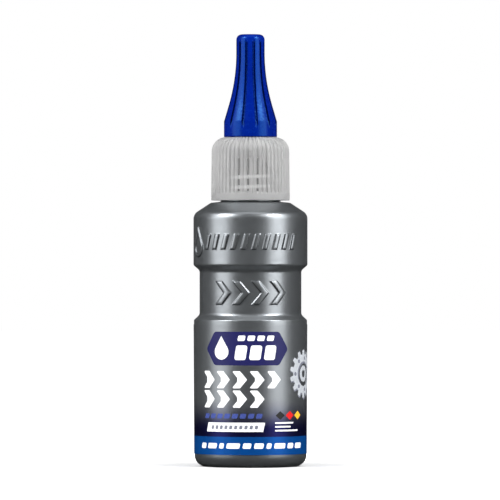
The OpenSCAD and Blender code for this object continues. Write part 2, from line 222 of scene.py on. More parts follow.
def node(tree, kind, inputs=None, **settings):
    """A new node with some of its sockets and settings filled in."""
    made = tree.nodes.new(kind)
    for key, value in settings.items():
        setattr(made, key, value)
    for key, value in (inputs or {}).items():
        if isinstance(value, bpy.types.NodeSocket):
            tree.links.new(value, made.inputs[key])
        else:
            made.inputs[key].default_value = value
    return made


def maths(tree, operation, *values):
    """The result of one sum on sockets or numbers."""
    return node(tree, "ShaderNodeMath", dict(enumerate(values)), operation=operation).outputs[0]


def product(tree, first, *others):
    """Several sockets multiplied together."""
    for other in others:
        first = maths(tree, "MULTIPLY", first, other)
    return first


def spread(tree, value, low, high, to_low=0.0, to_high=1.0, kind="LINEAR"):
    """A value moved from the span low to high into the span to_low to to_high, held at both ends."""
    sockets = {"Value": value, "From Min": low, "From Max": high, "To Min": to_low, "To Max": to_high}
    return node(tree, "ShaderNodeMapRange", sockets, interpolation_type=kind).outputs["Result"]


def noise_at(tree, vector, scale, detail, rough=0.5):
    """Noise at a place, from 0 to 1."""
    sockets = {"Vector": vector, "Scale": scale, "Detail": detail, "Roughness": rough}
    return node(tree, "ShaderNodeTexNoise", sockets).outputs["Fac"]


# %% [markdown]
# What the finishes share
# Each finish is put together from the same few steps: a mottled colour, a second colour for
# painted shade where little light reaches or painted light on the thicker wall, an uneven gloss
# and a grain. The depth of a bump is given in millimetres, so that it can be held against the real
# surface. The last helper tells where a point sits around the axis.


# %% Mottle, painted shade or light, gloss and grain
def mottle(tree, shader, colours, scale):
    """A slow, faint change between two colours, in object space."""
    place = node(tree, "ShaderNodeTexCoord")
    ramp = node(tree, "ShaderNodeValToRGB", {"Fac": noise_at(tree, place.outputs["Object"], scale, 3.0)})
    for stop, at, colour in zip(ramp.color_ramp.elements, (0.35, 0.65), colours):
        stop.position = at
        stop.color = (*colour, 1.0)
    tree.links.new(ramp.outputs["Color"], shader.inputs["Base Color"])
    return place, ramp


def painted_shade_or_light(tree, shader, ramp, share, tint):
    """Paints shade or light into the base colour: mixes another colour in by a share."""
    mixed = node(tree, "ShaderNodeMix", {"Factor": share, 6: ramp.outputs["Color"]}, data_type="RGBA")
    mixed.inputs[7].default_value = (*tint, 1.0)
    tree.links.new(mixed.outputs[2], shader.inputs["Base Color"])


def bumps(tree, shader, height, depth, strength):
    """Bumps of a depth in millimetres."""
    bump = node(tree, "ShaderNodeBump", {"Height": height, "Distance": depth * MM, "Strength": strength})
    tree.links.new(bump.outputs["Normal"], shader.inputs["Normal"])


def grain(tree, shader, place, scale, depth, strength):
    """A fine moulded grain."""
    bumps(tree, shader, noise_at(tree, place.outputs["Object"], scale, 2.0), depth, strength)


def uneven_gloss(tree, shader, place, scale, low, high):
    """Roughness that drifts a little, as on handled plastic."""
    noise = noise_at(tree, place.outputs["Object"], scale, 3.0)
    tree.links.new(spread(tree, noise, 0.0, 1.0, low, high), shader.inputs["Roughness"])


def streaks(tree, shader, place, low, high, depth):
    """Fine level streaks around the axis, in the roughness from low to high and in a bump."""
    flat = node(tree, "ShaderNodeMapping", {"Vector": place.outputs["Object"], "Scale": (1.0, 1.0, 7.0)})
    noise = noise_at(tree, flat.outputs["Vector"], 350.0, 5.0, 0.6)
    tree.links.new(spread(tree, noise, 0.0, 1.0, low, high), shader.inputs["Roughness"])
    bumps(tree, shader, noise, depth, 0.6)


def from_axis(tree, place):
    """The direction from the axis to the point, its length, and the point's separate coordinates."""
    split = node(tree, "ShaderNodeSeparateXYZ", {0: place.outputs["Object"]})
    plan = node(tree, "ShaderNodeCombineXYZ", {0: split.outputs["X"], 1: split.outputs["Y"]})
    reach = node(tree, "ShaderNodeVectorMath", {0: plan.outputs[0]}, operation="LENGTH")
    radial = node(tree, "ShaderNodeVectorMath", {0: plan.outputs[0]}, operation="NORMALIZE")
    return radial.outputs[0], reach.outputs["Value"], split


# %% [markdown]
# Silver-grey flake plastic
# The flakes lie nearly flat in the wall and mirror the lamps in two broad soft bands. A mostly
# metallic shader with a middling roughness gives those bands. Blowing stretches the flakes around
# the axis, so level streaks of noise change the gloss and add a very shallow bump. The steep rims
# of the raised marks get a painted shade, a darker base colour. The shader finds them by how far
# the surface leans away from the axis, and only within the two zones of the marks.


# %% Bottle plastic
FLAKE_GLOSS = (0.20, 0.50)
STREAK_DEPTH = 0.008
ZONE_MARGIN = 0.2


def bottle_plastic():
    material, tree, shader = new_material("bottle_plastic")
    place, ramp = mottle(tree, shader, ((0.295, 0.315, 0.333), (0.33, 0.35, 0.368)), 60.0)
    streaks(tree, shader, place, *FLAKE_GLOSS, STREAK_DEPTH)
    shader.inputs["Metallic"].default_value = 0.9
    shader.inputs["IOR"].default_value = 1.5
    radial, _, split = from_axis(tree, place)
    faces_out = node(tree, "ShaderNodeVectorMath", {0: radial, 1: place.outputs["Normal"]},
                     operation="DOT_PRODUCT")
    # Painted shade: the steep rims of the marks get a darker base colour, within the marks' zones only
    rim = spread(tree, faces_out.outputs["Value"], 0.96, 0.75, 0.0, 0.6)
    zones = [maths(tree, "COMPARE", split.outputs["Z"], middle * MM, (reach + ZONE_MARGIN) * MM)
             for middle, reach in MARK_ZONES]
    share = maths(tree, "MULTIPLY", rim, maths(tree, "MAXIMUM", *zones))
    painted_shade_or_light(tree, shader, ramp, share, (0.04, 0.042, 0.045))
    return material


SILVER = bottle_plastic()
print("bottle finish:", len(SILVER.node_tree.nodes), "nodes")

# %% [markdown]
# The bottle
# The bottle is blown from one tube of hot plastic, so its wall is even and every edge is soft.
# Its outside and its hollow inside come from the same corners: the inside is only moved in by the
# wall. The raised marks and the neck's thread are pushed out of the grid, with soft flanks. Rows
# and columns crowd together only where these stand, so the faces are spent where they show.

# %% Bottle outline
OUTSIDE = [
    (0, PUSH_UP, 0), (RING_R - 1.6, PUSH_UP, 1.5), (RING_R, 0, 0.4), (FOOT_R, 0, 3.5),
    (LOWER_R, WAIST_Z, 0.4), (WAIST_R, WAIST_Z + STEP_H, 1.5), (WAIST_R, BAND_Z - STEP_H, 1.5),
    (BAND_R, BAND_Z, 0.9), (BAND_R, SHOULDER_Z, 2.8), (DISC_R, DISC_Z, 0.8), (NECK_R, NECK_Z, 0.3),
    (NECK_R, RIM_Z, 0.5), (BORE_R, RIM_Z, 0.4),
]
INSIDE = [
    (BORE_R, NECK_Z - 1.0, 0.8),
    (BAND_R - WALL, SHOULDER_Z - 0.4, 2.0), (BAND_R - WALL, BAND_Z + 0.4, 1.5),
    (WAIST_R - WALL, BAND_Z - STEP_H + 0.4, 2.0), (WAIST_R - WALL, WAIST_Z + STEP_H - 0.4, 2.0),
    (LOWER_R - WALL, WAIST_Z - 0.4, 0.4), (FOOT_R - WALL, WALL, 2.6), (RING_R, WALL, 0.4),
    (RING_R - 1.6, PUSH_UP + WALL, 1.0), (0, PUSH_UP + WALL, 0),
]

MARK_STEP, THREAD_STEP, PLAIN_STEP, INSIDE_STEP = 0.18, 0.35, 3.0, 6.0


def bottle_step(z):
    """Fine rows where marks or the thread stand, coarse rows elsewhere."""
    if any(abs(z - middle) < reach for middle, reach in MARK_ZONES):
        return MARK_STEP
    return THREAD_STEP if NECK_Z < z < RIM_Z else PLAIN_STEP


bottle_outline = spaced(rounded(OUTSIDE), bottle_step) + spaced(rounded(INSIDE, 4), INSIDE_STEP)
print("bottle outline:", len(bottle_outline), "points")

# %% [markdown]
# Raised marks
# The band carries a row of leaning strokes and a drop, and the waist carries four arrowheads, all
# cut into the mould. Each is a small polygon laid around the wall. The distance to its outline sets
# how far the wall is pushed out: a steep rim first, then a low pillow, as hot plastic fills a
# shallow pocket. Boolean shapes would give sharp corners that a blown part never has.


# %% Marks as polygons in millimetres
def stroke(height, width, lean):
    return [(-width / 2 - lean / 2, -height / 2), (width / 2 - lean / 2, -height / 2),
            (width / 2 + lean / 2, height / 2), (-width / 2 + lean / 2, height / 2)]


def arrowhead(height, width):
    reach = height * 0.42
    return [(-reach / 2 - width / 2, -height / 2), (width / 2 - reach / 2, -height / 2),
            (reach / 2 + width / 2, 0), (width / 2 - reach / 2, height / 2),
            (-reach / 2 - width / 2, height / 2), (reach / 2 - width / 2, 0)]


def depth_inside(polygon, x, y):
    """Distance to the polygon's outline, positive inside, for arrays of points."""
    nearest = np.full(x.shape, 1e9)
    inside = np.zeros(x.shape, bool)
    for (x0, y0), (x1, y1) in zip(polygon, polygon[1:] + polygon[:1]):
        dx, dy = x1 - x0, y1 - y0
        t = np.clip(((x - x0) * dx + (y - y0) * dy) / (dx * dx + dy * dy), 0, 1)
        nearest = np.minimum(nearest, np.hypot(x - x0 - t * dx, y - y0 - t * dy))
        if y0 != y1:
            inside ^= ((y0 > y) != (y1 > y)) & (x < (x1 - x0) * (y - y0) / (y1 - y0) + x0)
    return np.where(inside, nearest, -nearest)


def soft_step(v, low, high):
    t = np.clip((v - low) / (high - low), 0, 1)
    return t * t * (3 - 2 * t)


def drop(u, z, radius, height):
    """A drop of oil that stands on its round end."""
    lean = math.asin(radius / (height - radius))
    first, last = math.pi - lean, 2 * math.pi + lean
    arc = [first + (last - first) * k / 20 for k in range(21)]
    points = [(u + radius * math.cos(t), z + radius + radius * math.sin(t)) for t in arc]
    return points + [(u, z + height)]


# A mark's height, how much of it the rim makes, and the widths of the rim and the pillow
MARK_H, RIM_SHARE, RIM, PILLOW = 0.45, 0.65, 0.3, 1.1
# Each mark is its place in degrees, its height, its outline and the outline of its hole
MARKS = [((k - 4.5) * 10.6, BAND_MID, stroke(4.8, 1.6, 1.3), None) for k in range(10)]
MARKS += [((k - 1.5) * 21.5, WAIST_MID, arrowhead(7.4, 2.4), None) for k in range(4)]
MARKS.append((-65.0, BAND_MID, drop(0, -4.8, 2.9, 9.6), drop(0, -3.8, 1.9, 6.29)))


def raise_marks(r, z, angle):
    """How far the marks push the wall out at each grid point."""
    out = np.zeros(r.shape)
    for turn, mid, shape, hole in MARKS:
        x = np.radians((angle + 90 - turn + 180) % 360 - 180) * r
        near = (np.abs(x) < 6) & (np.abs(z - mid) < 5.2)
        if near.any():
            inside = depth_inside(shape, x[near], z[near] - mid)
            if hole:
                inside = np.minimum(inside, -depth_inside(hole, x[near], z[near] - mid))
            rim = RIM_SHARE * soft_step(inside, -RIM / 2, RIM / 2)
            pillow = (1 - RIM_SHARE) * np.sqrt(1 - (1 - np.clip(inside / PILLOW, 0, 1)) ** 2)
            out[near] = np.maximum(out[near], MARK_H * (rim + pillow))
    return out


print(len(MARKS), "raised marks")

# %% [markdown]
# The screw thread
# A thread is a ridge that climbs one pitch in each turn. Seen along the neck it is a low hill with
# a flat top, so its height depends only on how far a point is from the climbing line. The ends
# fade into the wall, as on a real mould where the cutter runs out.


# %% Thread as a pushed ridge
def thread_height(z, angle, low_z, height, root_w, crest_w):
    """Height of the ridge at each grid point, in millimetres."""
    out = np.zeros(z.shape)
    sweep, fade = THREAD_TURNS * 360, 40.0
    first = (angle - THREAD_START) % 360
    for turn in range(math.ceil(THREAD_TURNS)):
        t = first + 360 * turn
        away = np.abs(z - low_z - THREAD_PITCH * t / 360)
        hill = 1 - soft_step(away, crest_w / 2, root_w / 2)
        ends = np.clip(np.minimum(t, sweep - t) / fade, 0, 1)
        out = np.maximum(out, height * hill * ends)
    return out


# %% [markdown]
# Making the bottle
# The front has a column every 0.6 degrees, which is 0.19 mm on the wall and about as wide as the
# rows of the marks are high. So a mark's steep rim gets nearly two faces across. The back has
# nothing to show and gets wide columns.


# %% Bottle mesh
def push_bottle(r, z, angle, nr, nz):
    """Marks on the outer wall, and the thread on the neck."""
    outer = (nr > 0.5) & (r > WAIST_R - 0.5)
    r = np.where(outer, r + raise_marks(r, z, angle), r)
    neck = (nr > 0.5) & (np.abs(r - NECK_R) < 0.05) & (z > NECK_Z + 0.5)
    thread = thread_height(z, angle, THREAD_LOW_Z, THREAD_R - NECK_R, *NECK_RIDGE)
    return np.where(neck, r + thread, r), z


# Angles are in degrees, and the front looks towards -Y
FRONT = -90.0
FINE = np.arange(-75.6, 53.41, 0.6)
COARSE = np.arange(57.0, 281.01, 4.0)
AROUND = np.concatenate([FINE, COARSE]) + FRONT

bottle = turned("bottle_shell", bottle_outline, AROUND, push_bottle, "bottle_body", SILVER)
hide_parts("bottle")

# %% [markdown]
# Overcap
# The overcap is a slim cone with a hollow curve, and twelve flutes run down it. A ball-nosed tool
# cut them in the mould: they keep one width, and they run out in a point where the tool leaves the
# foot. Its outline is worked out first, because the spout inside follows the same line.


# %% Overcap outline
CURVE_R = CAP_TOP_R + CAP_CURVE_R
CONE_TOP_R = CURVE_R - CAP_CURVE_R * math.cos(CAP_SLOPE)
CONE_Z = CAP_Z + CAP_FOOT_H
CURVE_Z = CONE_Z + (CAP_R - CONE_TOP_R) / math.tan(CAP_SLOPE) + CAP_CURVE_R * math.sin(CAP_SLOPE)


def cap_line(d, steps=16):
    """The overcap's side, moved in by d: top of the foot, cone and hollow curve."""
    out = [(CAP_R - d, CONE_Z - d * math.tan(CAP_SLOPE / 2))]
    for k in range(steps + 1):
        t = CAP_SLOPE * (1 - k / steps)
        out.append((CURVE_R - (CAP_CURVE_R + d) * math.cos(t), CURVE_Z - (CAP_CURVE_R + d) * math.sin(t)))
    return out


print("the overcap's cone starts at", round(CONE_Z, 2), "and its hollow curve at", round(CURVE_Z, 2))

# %% [markdown]
# Flutes
# The grid's columns gather in the flutes, so that their edges stay crisp at any height. Each flute
# is part of a circle, and the surface is pushed in along its own direction. Cutting the flutes with
# twelve long cylinders would work too, but leaves thin faces where they run out.


# %% Flutes in the grid
FLUTES, FLUTE_R, FLUTE_DEPTH = 12, 0.42, 0.6
FLUTE_TURN = -16.5 + FRONT
FLUTE_TOP_Z = CAP_TOP_Z - 1.8
# Places of the columns across one flute, from its middle, in millimetres
LATERAL = np.array([-0.56, -0.46, -0.4, -0.36, -0.3, -0.18, 0.0, 0.18, 0.3, 0.36, 0.4, 0.46, 0.56])


def flute_columns(r):
    """Angles of one row: a set of columns in each flute, and six across each rib."""
    pitch = 360 / FLUTES
    groove = np.degrees(LATERAL / max(r, 3.0))
    rib = np.linspace(groove[-1], pitch + groove[0], 8)[1:-1]
    return np.concatenate([FLUTE_TURN + k * pitch + np.concatenate([groove, rib]) for k in range(FLUTES)])


def push_flutes(r, z, angle, nr, nz):
    """Flutes in the outside, shallower below the cone and towards the top."""
    pitch = 360 / FLUTES
    x = np.radians((angle - FLUTE_TURN + pitch / 2) % pitch - pitch / 2) * r
    lost = np.maximum(0, (CONE_Z - z) * math.tan(CAP_SLOPE))
    lost = lost + FLUTE_DEPTH * soft_step(z, FLUTE_TOP_Z - 1.6, FLUTE_TOP_Z + 0.2)
    deep = FLUTE_DEPTH - FLUTE_R - lost + np.sqrt(np.maximum(0, FLUTE_R**2 - x**2))
    outer = (nr > 0.2) & (r > CAP_TOP_R - 0.5)
    deep = np.where(outer & (np.abs(x) < FLUTE_R), np.maximum(0, deep), 0)
    return r - deep * nr, z - deep * nz


print(FLUTES, "flutes of", FLUTE_DEPTH, "mm")

# %% [markdown]
# Dyed plastic
# The overcap is dyed blue and glossy. Little light reaches into the deep flutes, so their walls
# that face sideways get a painted shade, a nearly black base colour. The shader finds those walls
# by turning the surface's direction against the direction from the axis.


# %% Overcap plastic
def overcap_plastic():
    material, tree, shader = new_material("overcap_plastic")
    place, ramp = mottle(tree, shader, ((0.0, 0.007, 0.155), (0.0, 0.010, 0.19)), 90.0)
    radial, _, _ = from_axis(tree, place)
    across = node(tree, "ShaderNodeVectorMath", {0: radial, 1: place.outputs["Normal"]},
                  operation="CROSS_PRODUCT")
    upright = node(tree, "ShaderNodeSeparateXYZ", {0: across.outputs[0]})
    sideways = maths(tree, "ABSOLUTE", upright.outputs["Z"])
    # Painted shade: flute walls that face sideways get a nearly black base colour
    painted_shade_or_light(tree, shader, ramp, spread(tree, sideways, 0.3, 0.8, 0.0, 0.8), (0.0, 0.001, 0.02))
    uneven_gloss(tree, shader, place, 700.0, 0.12, 0.40)
    shader.inputs["Specular IOR Level"].default_value = 0.5
    shader.inputs["Specular Tint"].default_value = (0.08, 0.42, 1.0, 1.0)
    grain(tree, shader, place, 1500.0, 0.05, 0.6)
    return material


BLUE = overcap_plastic()
print("overcap finish:", len(BLUE.node_tree.nodes), "nodes")

# %% [markdown]
# Making the overcap
# The overcap is a hollow shell of one wall. A small pin hangs from its ceiling and closes the hole
# in the spout. The outline runs from the pin down the inside, around the foot and up the outside.


# %% Overcap mesh
PIN_L, PIN_R, PIN_TIP_R = 2.5, 0.52, 0.4
FOOT_CHAMFER = 0.3
ceiling_z = CAP_TOP_Z - CAP_WALL
cap_outline = [(0, CAP_Z, 0), (CAP_R, CAP_Z, 0.25)]
cap_outline += [(r, z, 0) for r, z in cap_line(0)]
cap_outline += [(CAP_TOP_R, CAP_TOP_Z, 1.7), (0, CAP_TOP_Z, 0)]
outer_cap = spaced(rounded(cap_outline, 10)[1:], 0.4)
inner_cap = [(CAP_TOP_R - CAP_WALL, ceiling_z)] + [(r, z) for r, z in reversed(cap_line(CAP_WALL))]
inner_cap += [(CAP_R - CAP_WALL, CAP_Z + FOOT_CHAMFER), (CAP_R - CAP_WALL + FOOT_CHAMFER, CAP_Z)]
pin = [(0, ceiling_z - PIN_L), (PIN_TIP_R, ceiling_z - PIN_L), (PIN_R, ceiling_z - PIN_L + 0.2),
       (PIN_R, ceiling_z)]
whole_cap = pin + spaced(inner_cap, 1.5) + outer_cap
overcap = turned("overcap_shell", whole_cap, flute_columns, push_flutes, "overcap_body", BLUE)
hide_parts("overcap")

# %% [markdown]
# Spout cap
# The collar, the dome and the spout are one moulding. Its outline is a closed loop: up the collar
# and over the dome, up the spout, down the bore, and back over the inside of the collar. The dome
# is part of a circle, inside and outside, about one middle, so that its wall is even.

# %% Spout cap outline
DOME_R, DOME_INSET = 4.5, 0.14
DOME_MID = (COLLAR_R - DOME_INSET - DOME_R, DOME_Z - DOME_R)
RELIEF_R, PRESS_R, FUNNEL_R = DOME_R - 1.25, 8.9, 7.0
# The plain strip under the ribs, and the height at which the ribs have their full depth
STRIP_H, FULL_H = 2.2, 2.7
SEAT_R, SEAT_H = CAP_R - CAP_WALL - 0.1, 3.0
SPOUT_IN, BORE_IN = 2.0, 3.2
TIP_Z = CAP_TOP_Z - CAP_WALL - 0.5
TIP_R, HOLE_R, HOLE_L = 1.7, 0.6, 3.0


def dome_arc(radius, first, last, steps=12):
    """Part of the dome's edge, from one angle to another."""
    out = []
    for k in range(steps + 1):
        t = math.radians(first + (last - first) * k / steps)
        out.append((DOME_MID[0] + radius * math.cos(t), DOME_MID[1] + radius * math.sin(t)))
    return out


def below(line, top):
    return [p for p in line if p[1] < top]


relief_a = math.degrees(math.acos((PRESS_R - DOME_MID[0]) / RELIEF_R))
spout_outside = [(COLLAR_R, COLLAR_Z + height) for height in (0.12, STRIP_H, FULL_H)]
spout_outside += dome_arc(DOME_R, 0, 90) + [(SEAT_R, DOME_Z), (SEAT_R, CAP_Z + SEAT_H - 0.2)]
spout_outside += [(SEAT_R - 0.5, CAP_Z + SEAT_H + 0.25)]
spout_outside += below(cap_line(SPOUT_IN), TIP_Z - 3)
spout_outside += [(CAP_TOP_R - SPOUT_IN, TIP_Z - 3), (TIP_R, TIP_Z - 0.2), (TIP_R - 0.2, TIP_Z)]
spout_inside = [(HOLE_R, TIP_Z), (HOLE_R, TIP_Z - HOLE_L), (CAP_TOP_R - BORE_IN, TIP_Z - HOLE_L - 0.5)]
spout_inside += below(cap_line(BORE_IN), TIP_Z - HOLE_L - 1)[::-1]
spout_inside += [(CAP_R - BORE_IN, DOME_Z), (FUNNEL_R, LAND_Z), (PRESS_R, LAND_Z)]
spout_inside += dome_arc(RELIEF_R, relief_a, 0, 8)
spout_inside += [(SKIRT_R, LAND_Z), (SKIRT_R, COLLAR_Z + 0.4), (SKIRT_R + 0.4, COLLAR_Z)]
spout_inside += [(COLLAR_R - 0.12, COLLAR_Z)]


def cap_step(z):
    """Fine rows only where the thread climbs inside the collar."""
    return 0.45 if COLLAR_Z + 0.4 < z < LAND_Z else 1.5


spout_loop = spaced(spout_outside + spout_inside, cap_step)
print("spout cap outline:", len(spout_loop), "points")

# %% [markdown]
# Grip ribs and the inner thread
# The collar has 52 grip ribs that climb over the dome and end under the overcap. A bump texture
# could draw them, but they show in the outline and need real grooves. The thread inside runs half
# a pitch beside the neck's thread, in the space between its turns.


# %% Ribs in the grid
RIBS, RIB_DEPTH, RIB_GAP = 52, 0.27, 0.6
CAP_THREAD_R = 9.85
CAP_THREAD_LOW_Z = THREAD_LOW_Z - THREAD_PITCH / 2
# Places of the columns across one groove, from its middle, in millimetres
ACROSS = np.array([-0.38, -0.3, -0.24, -0.14, 0.0, 0.14, 0.24, 0.3, 0.38])


def rib_columns(r):
    pitch = 360 / RIBS
    groove = np.degrees(ACROSS / max(r, 7.9))
    rib = np.linspace(groove[-1], pitch + groove[0], 5)[1:-1]
    return np.concatenate([(k + 0.5) * pitch + np.concatenate([groove, rib]) for k in range(RIBS)])


def push_ribs(r, z, angle, nr, nz):
    """Grooves between the ribs outside, and the thread inside."""
    pitch = 360 / RIBS
    away = np.abs(np.radians((angle % pitch) - pitch / 2) * r)
    groove = 1 - soft_step(away, RIB_GAP / 2 - 0.25, RIB_GAP / 2 + 0.08)
    over_dome = np.degrees(np.arctan2(z - DOME_MID[1], r - DOME_MID[0]))
    ends = soft_step(z, COLLAR_Z + STRIP_H, COLLAR_Z + FULL_H) * (1 - soft_step(over_dome, 84, 90))
    deep = RIB_DEPTH * groove * ends
    outer = (r > DOME_MID[0] - 0.1) & ((nr > 0.5) | (nz > 0.5)) & (z < DOME_Z + 0.01)
    deep = np.where(outer, deep, 0)
    skirt = (nr < -0.5) & (np.abs(r - SKIRT_R) < 0.05) & (z > COLLAR_Z + 0.6)
    thread = thread_height(z, angle, CAP_THREAD_LOW_Z, SKIRT_R - CAP_THREAD_R, *CAP_RIDGE)
    return r - deep * nr - np.where(skirt, thread, 0), z - deep * nz


print(RIBS, "ribs, thread from", round(CAP_THREAD_LOW_Z, 2))

# %% [markdown]
# Milky plastic
# The cap is moulded in natural polythene, which is milky: light goes in, wanders and comes out
# again. The neck shows through in front, as if the mould's core sat a little off centre and left a
# thinner wall there. The stripes lie in every second groove, fade towards the dome, and break off
# where the thread inside makes the wall thick again. So the shader lets more light through only
# there, and paints light onto the bands of thick wall between them, as a lighter base colour.


# %% Cap plastic
# Heights above the collar's foot: where the ribs begin, and where the stripes fade out and in
RIBBED_H, STRIPES_H = (2.4, 2.9), (18.2, 12.6)
# At 0.5 the bands of painted light would be level with the thread's crest, and less lifts them;
# the second value is the height above the thread's start from which there are none
THREAD_SHIFT, ABOVE_THREAD = 0.36, 3.9
# How much painted light the bands of thick wall get, and its colour
PAINTED_LIGHT_SHARE, PAINTED_LIGHT_WHITE = 0.42, (0.85, 0.85, 0.85)
# What a plain wall lets through and how rough it is, and what a clear groove adds to both
PLAIN_THROUGH, PLAIN_ROUGH = 0.40, 0.42
CLEAR_THROUGH, CLEAR_ROUGH = 0.75, -0.5


def second_groove(tree, angle):
    """How clear the wall is around the collar: most in every second groove, least between them."""
    turns = maths(tree, "MULTIPLY_ADD", angle, RIBS / 4 / math.pi, 0.25)
    away = maths(tree, "ABSOLUTE", maths(tree, "SUBTRACT", maths(tree, "FRACT", turns), 0.5))
    return spread(tree, away, 0.09, 0.26, 0.33, 0.04)


def beside_thread(tree, angle, z):
    """0 where the inner thread makes the wall thick, 1 between its turns and above it."""
    start = THREAD_SHIFT - CAP_THREAD_LOW_Z / THREAD_PITCH
    climb = maths(tree, "MULTIPLY_ADD", z, 1 / THREAD_PITCH / MM, start)
    turned_by = maths(tree, "MULTIPLY_ADD", angle, -0.5 / math.pi, THREAD_START / 360)
    phase = maths(tree, "FRACT", maths(tree, "ADD", climb, turned_by))
    away = maths(tree, "ABSOLUTE", maths(tree, "SUBTRACT", phase, 0.5))
    above = maths(tree, "GREATER_THAN", z, (THREAD_LOW_Z + ABOVE_THREAD) * MM)
    return spread(tree, maths(tree, "ADD", away, above), 0.07, 0.21)


def milky_plastic():
    material, tree, shader = new_material("cap_plastic")
    place, ramp = mottle(tree, shader, ((0.445, 0.445, 0.447), (0.49, 0.49, 0.49)), 120.0)
    shader.inputs["IOR"].default_value = 1.45
    shader.inputs["Subsurface Weight"].default_value = 0.9
    shader.inputs["Subsurface Radius"].default_value = (1.0, 1.0, 1.0)
    shader.inputs["Subsurface Scale"].default_value = 3.0 * MM
    _, reach, split = from_axis(tree, place)
    z = split.outputs["Z"]
    angle = maths(tree, "ARCTAN2", split.outputs["Y"], split.outputs["X"])
    ribbed = spread(tree, z, *[(COLLAR_Z + height) * MM for height in RIBBED_H])
    lower = spread(tree, z, *[(COLLAR_Z + height) * MM for height in STRIPES_H])
    outside = spread(tree, reach, (SKIRT_R - 0.5) * MM, (SKIRT_R - 0.1) * MM)
    front = spread(tree, maths(tree, "DIVIDE", split.outputs["Y"], reach), -0.80, -0.95)
    shown = product(tree, ribbed, outside, front)
    thin = beside_thread(tree, angle, z)
    thick = maths(tree, "MULTIPLY_ADD", thin, -PAINTED_LIGHT_SHARE, PAINTED_LIGHT_SHARE)
    # Painted light: a lighter base colour on the bands of thick wall, in front only
    painted_shade_or_light(tree, shader, ramp, product(tree, thick, shown), PAINTED_LIGHT_WHITE)
    clear = product(tree, second_groove(tree, angle), shown, lower, thin)
    through = maths(tree, "MULTIPLY_ADD", clear, CLEAR_THROUGH, PLAIN_THROUGH)
    rough = maths(tree, "MULTIPLY_ADD", clear, CLEAR_ROUGH, PLAIN_ROUGH)
    tree.links.new(through, shader.inputs["Transmission Weight"])
    tree.links.new(rough, shader.inputs["Roughness"])
    grain(tree, shader, place, 2500.0, 0.01, 0.3)
    return material


MILKY = milky_plastic()
spout_cap = turned("spout_cap_shell", spout_loop, rib_columns, push_ribs, "cap_body", MILKY, loop=True)
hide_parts("spout_cap")

# %% [markdown]
# Washer
# A soft foam washer seals the cap on the neck's rim. It hides inside the cap until the cap is
# screwed off, so the CAD ring is kept and only gets its foam, with fine cells.


# %% Washer foam
def washer_foam():
    material, tree, shader = new_material("washer_foam")
    place, _ = mottle(tree, shader, ((0.72, 0.72, 0.70), (0.80, 0.80, 0.78)), 300.0)
    shader.inputs["Roughness"].default_value = 0.85
    grain(tree, shader, place, 3500.0, 0.08, 0.7)
    return material


def dress(name, material):
    """Gives a CAD part a new finish."""
    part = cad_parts[name]
    part.data.materials.clear()
    part.data.materials.append(material)
    print(name, "keeps its CAD shape")


dress("washer", washer_foam())

# %% [markdown]
# Label
# The label is a silver film, printed in inks, that is wrapped around the lower body. Its ends stay
# a little apart at the back. The film is a thin curved sheet with a real thickness. It is drawn
# flat, as the printer draws it, with u along the film and z up, and then bent around the bottle.

# %% Bend flat drawings around the bottle
GLUE, FILM = 0.02, 0.1
LABEL_Z, LABEL_TOP, LABEL_GAP, BAND_PRINT_TOP = 4.1, 45.0, 1.5, 9.8
LABEL_R = 18.0


def side_r(z):
    """Radius of the lower body at a height."""
    return FOOT_R + (LOWER_R - FOOT_R) * z / LOWER_H


def bent(name, drawing, low, high, material, step=0.7, body="bottle_body"):
    """Thin closed solids from flat polygons (u, z), bent around the bottle from lift low to high."""
    bm = bmesh.new()
    for polygon in drawing:
        bm.faces.new([bm.verts.new((u, z, 0.0)) for u, z in polygon])
    bmesh.ops.remove_doubles(bm, verts=bm.verts, dist=1e-4)
    bmesh.ops.recalc_face_normals(bm, faces=bm.faces)
    grown = bmesh.ops.extrude_face_region(bm, geom=bm.faces[:])
    for v in [g for g in grown["geom"] if isinstance(g, bmesh.types.BMVert)]:
        v.co.z = 1.0
    bmesh.ops.recalc_face_normals(bm, faces=bm.faces)
    reach = [v.co.x for v in bm.verts]
    u = math.floor(min(reach) / step) * step
    while u < max(reach):
        bmesh.ops.bisect_plane(bm, geom=bm.verts[:] + bm.edges[:] + bm.faces[:], dist=1e-5,
                               plane_co=(u, 0, 0), plane_no=(1, 0, 0))
        u += step
    for v in bm.verts:
        a = math.radians(FRONT) + v.co.x / LABEL_R
        r = side_r(v.co.y) + (high if v.co.z > 0.5 else low)
        v.co = Vector((r * math.cos(a), r * math.sin(a), v.co.y)) * MM
    bmesh.ops.triangulate(bm, faces=[f for f in bm.faces if len(f.verts) > 4])
    piece = finished(name, bm, body, material, 30)
    return piece


def soft_polygon(points, radius, steps=4):
    """A closed polygon whose corners are rounded."""
    loop = [points[-1]] + list(points) + [points[0]]
    return rounded([(u, z, radius) for u, z in loop], steps)[1:-1]


def moved(points, u, z):
    return [(p[0] + u, p[1] + z) for p in points]


def bar(width, height, slant=0.0, radius=0.3):
    """A bar with round corners, leaning to the right by slant, with its lower left corner at 0, 0."""
    return soft_polygon([(0, 0), (width, 0), (width + slant, height), (slant, height)], radius)


# %% [markdown]
# Printed film
# Silver ink on a film looks like the flake plastic under it, so it gets the same streaks. Towards
# the lower edge the printer lays navy over it, in a fade. The fade follows the height above the
# ground, so it is made from the object's own Z and stays with the bottle from every side.


# %% Film and ink materials
FADE_LOW, FADE_HIGH, FADE_WAVE = 12.8, 23.5, 2.0


